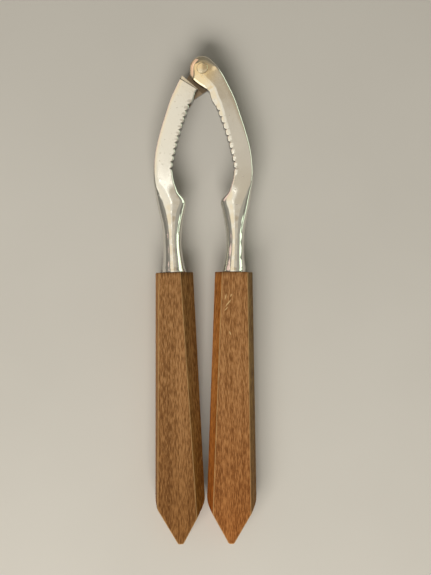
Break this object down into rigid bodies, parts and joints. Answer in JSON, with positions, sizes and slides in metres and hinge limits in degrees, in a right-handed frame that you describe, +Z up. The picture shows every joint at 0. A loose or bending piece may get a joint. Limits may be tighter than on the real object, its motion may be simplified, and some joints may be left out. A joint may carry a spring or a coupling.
{
  "type": "nutcracker",
  "caption": "Hand nutcracker: toothed forged steel arms hinged on a riveted half-lap head, with tapered faceted wooden handles ending in a point.",
  "frame": {"origin": "on the surface that the nutcracker lies on, under the middle of its box", "axes": "+Y towards the head, +X towards the right arm, whose half of the lap is on top, +Z up from the surface"},
  "size_m": [0.0438, 0.21, 0.014],
  "materials": {
    "polished_steel": "polished",
    "rivet_steel": "polished",
    "left_teak": "satin",
    "right_teak": "satin"
  },
  "bodies": {
    "left_side": {"left_arm": "polished_steel", "left_handle": "left_teak", "pivot_rivet": "rivet_steel"},
    "right_side": {"right_arm": "polished_steel", "right_handle": "right_teak"}
  },
  "joints": [
    {"name": "pivot", "type": "hinge", "parent": "left_side", "child": "right_side", "pos_m": [0, 0.0995, 0.007], "axis": [0, 0, 1], "range_deg": [0, 210]}
  ]
}
